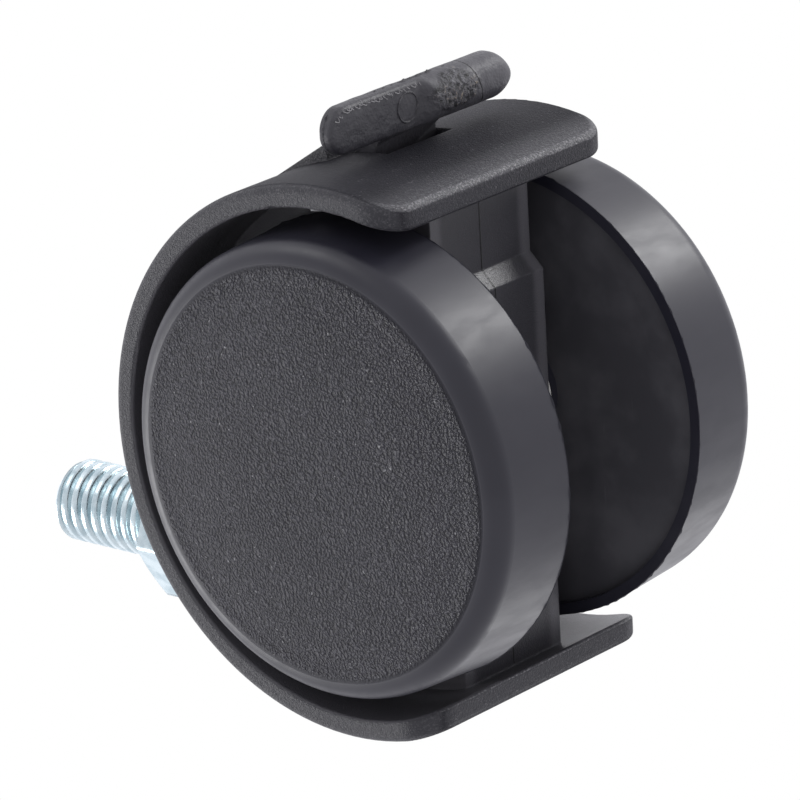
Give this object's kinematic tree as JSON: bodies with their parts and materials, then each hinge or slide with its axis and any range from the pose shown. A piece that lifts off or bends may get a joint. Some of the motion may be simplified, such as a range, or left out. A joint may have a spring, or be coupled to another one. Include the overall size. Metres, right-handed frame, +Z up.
{
  "type": "furniture caster",
  "caption": "Twin-wheel furniture caster with hooded swivel housing, threaded stem and a foot-operated brake lever.",
  "frame": {"origin": "centre of the stem's seat, the flat top of its hexagon, which bears on the furniture", "axes": "+Z up along the threaded stem; the axle lies along Y; +X is the side that the wheels trail to and that the brake pedal stands out on"},
  "size_m": [0.0569, 0.0392, 0.0676],
  "materials": {
    "black_nylon": "fine matt moulded texture",
    "lever_nylon": "satin, with flash at its parting line",
    "wheel_nylon": "smooth satin tread, coarse leather-like grain on the outer face",
    "cover_nylon": "satin",
    "bush_acetal": "smooth",
    "zinc_steel": "bright zinc plating with a faint blue passivation",
    "spring_steel": "oiled spring steel"
  },
  "bodies": {
    "stem": {"threaded_stem": "zinc_steel", "thrust_washer": "zinc_steel", "stem_snap_ring": "spring_steel"},
    "housing": {"housing": "black_nylon", "stem_bush": "bush_acetal", "axle": "zinc_steel", "axle_clip_left": "spring_steel", "axle_clip_right": "spring_steel", "spacer_left": "bush_acetal", "spacer_right": "bush_acetal", "brake_pin": "zinc_steel"},
    "wheel_left": {"wheel_left": "wheel_nylon", "inner_cover_left": "cover_nylon"},
    "wheel_right": {"wheel_right": "wheel_nylon", "inner_cover_right": "cover_nylon"},
    "brake": {"brake_lever": "lever_nylon", "brake_bar": "spring_steel"}
  },
  "joints": [
    {"name": "swivel", "type": "hinge", "parent": "stem", "child": "housing", "pos_m": [0, 0, 0], "axis": [0, 0, 1], "continuous": true},
    {"name": "wheel_left_spin", "type": "hinge", "parent": "housing", "child": "wheel_left", "pos_m": [0.0162, 0, -0.0328], "axis": [0, 1, 0], "continuous": true},
    {"name": "wheel_right_spin", "type": "hinge", "parent": "housing", "child": "wheel_right", "pos_m": [0.0162, 0, -0.0328], "axis": [0, 1, 0], "continuous": true},
    {"name": "brake_pedal", "type": "hinge", "parent": "housing", "child": "brake", "pos_m": [0.0331, 0, -0.027], "axis": [0, 1, 0], "range_deg": [0, 8]}
  ]
}
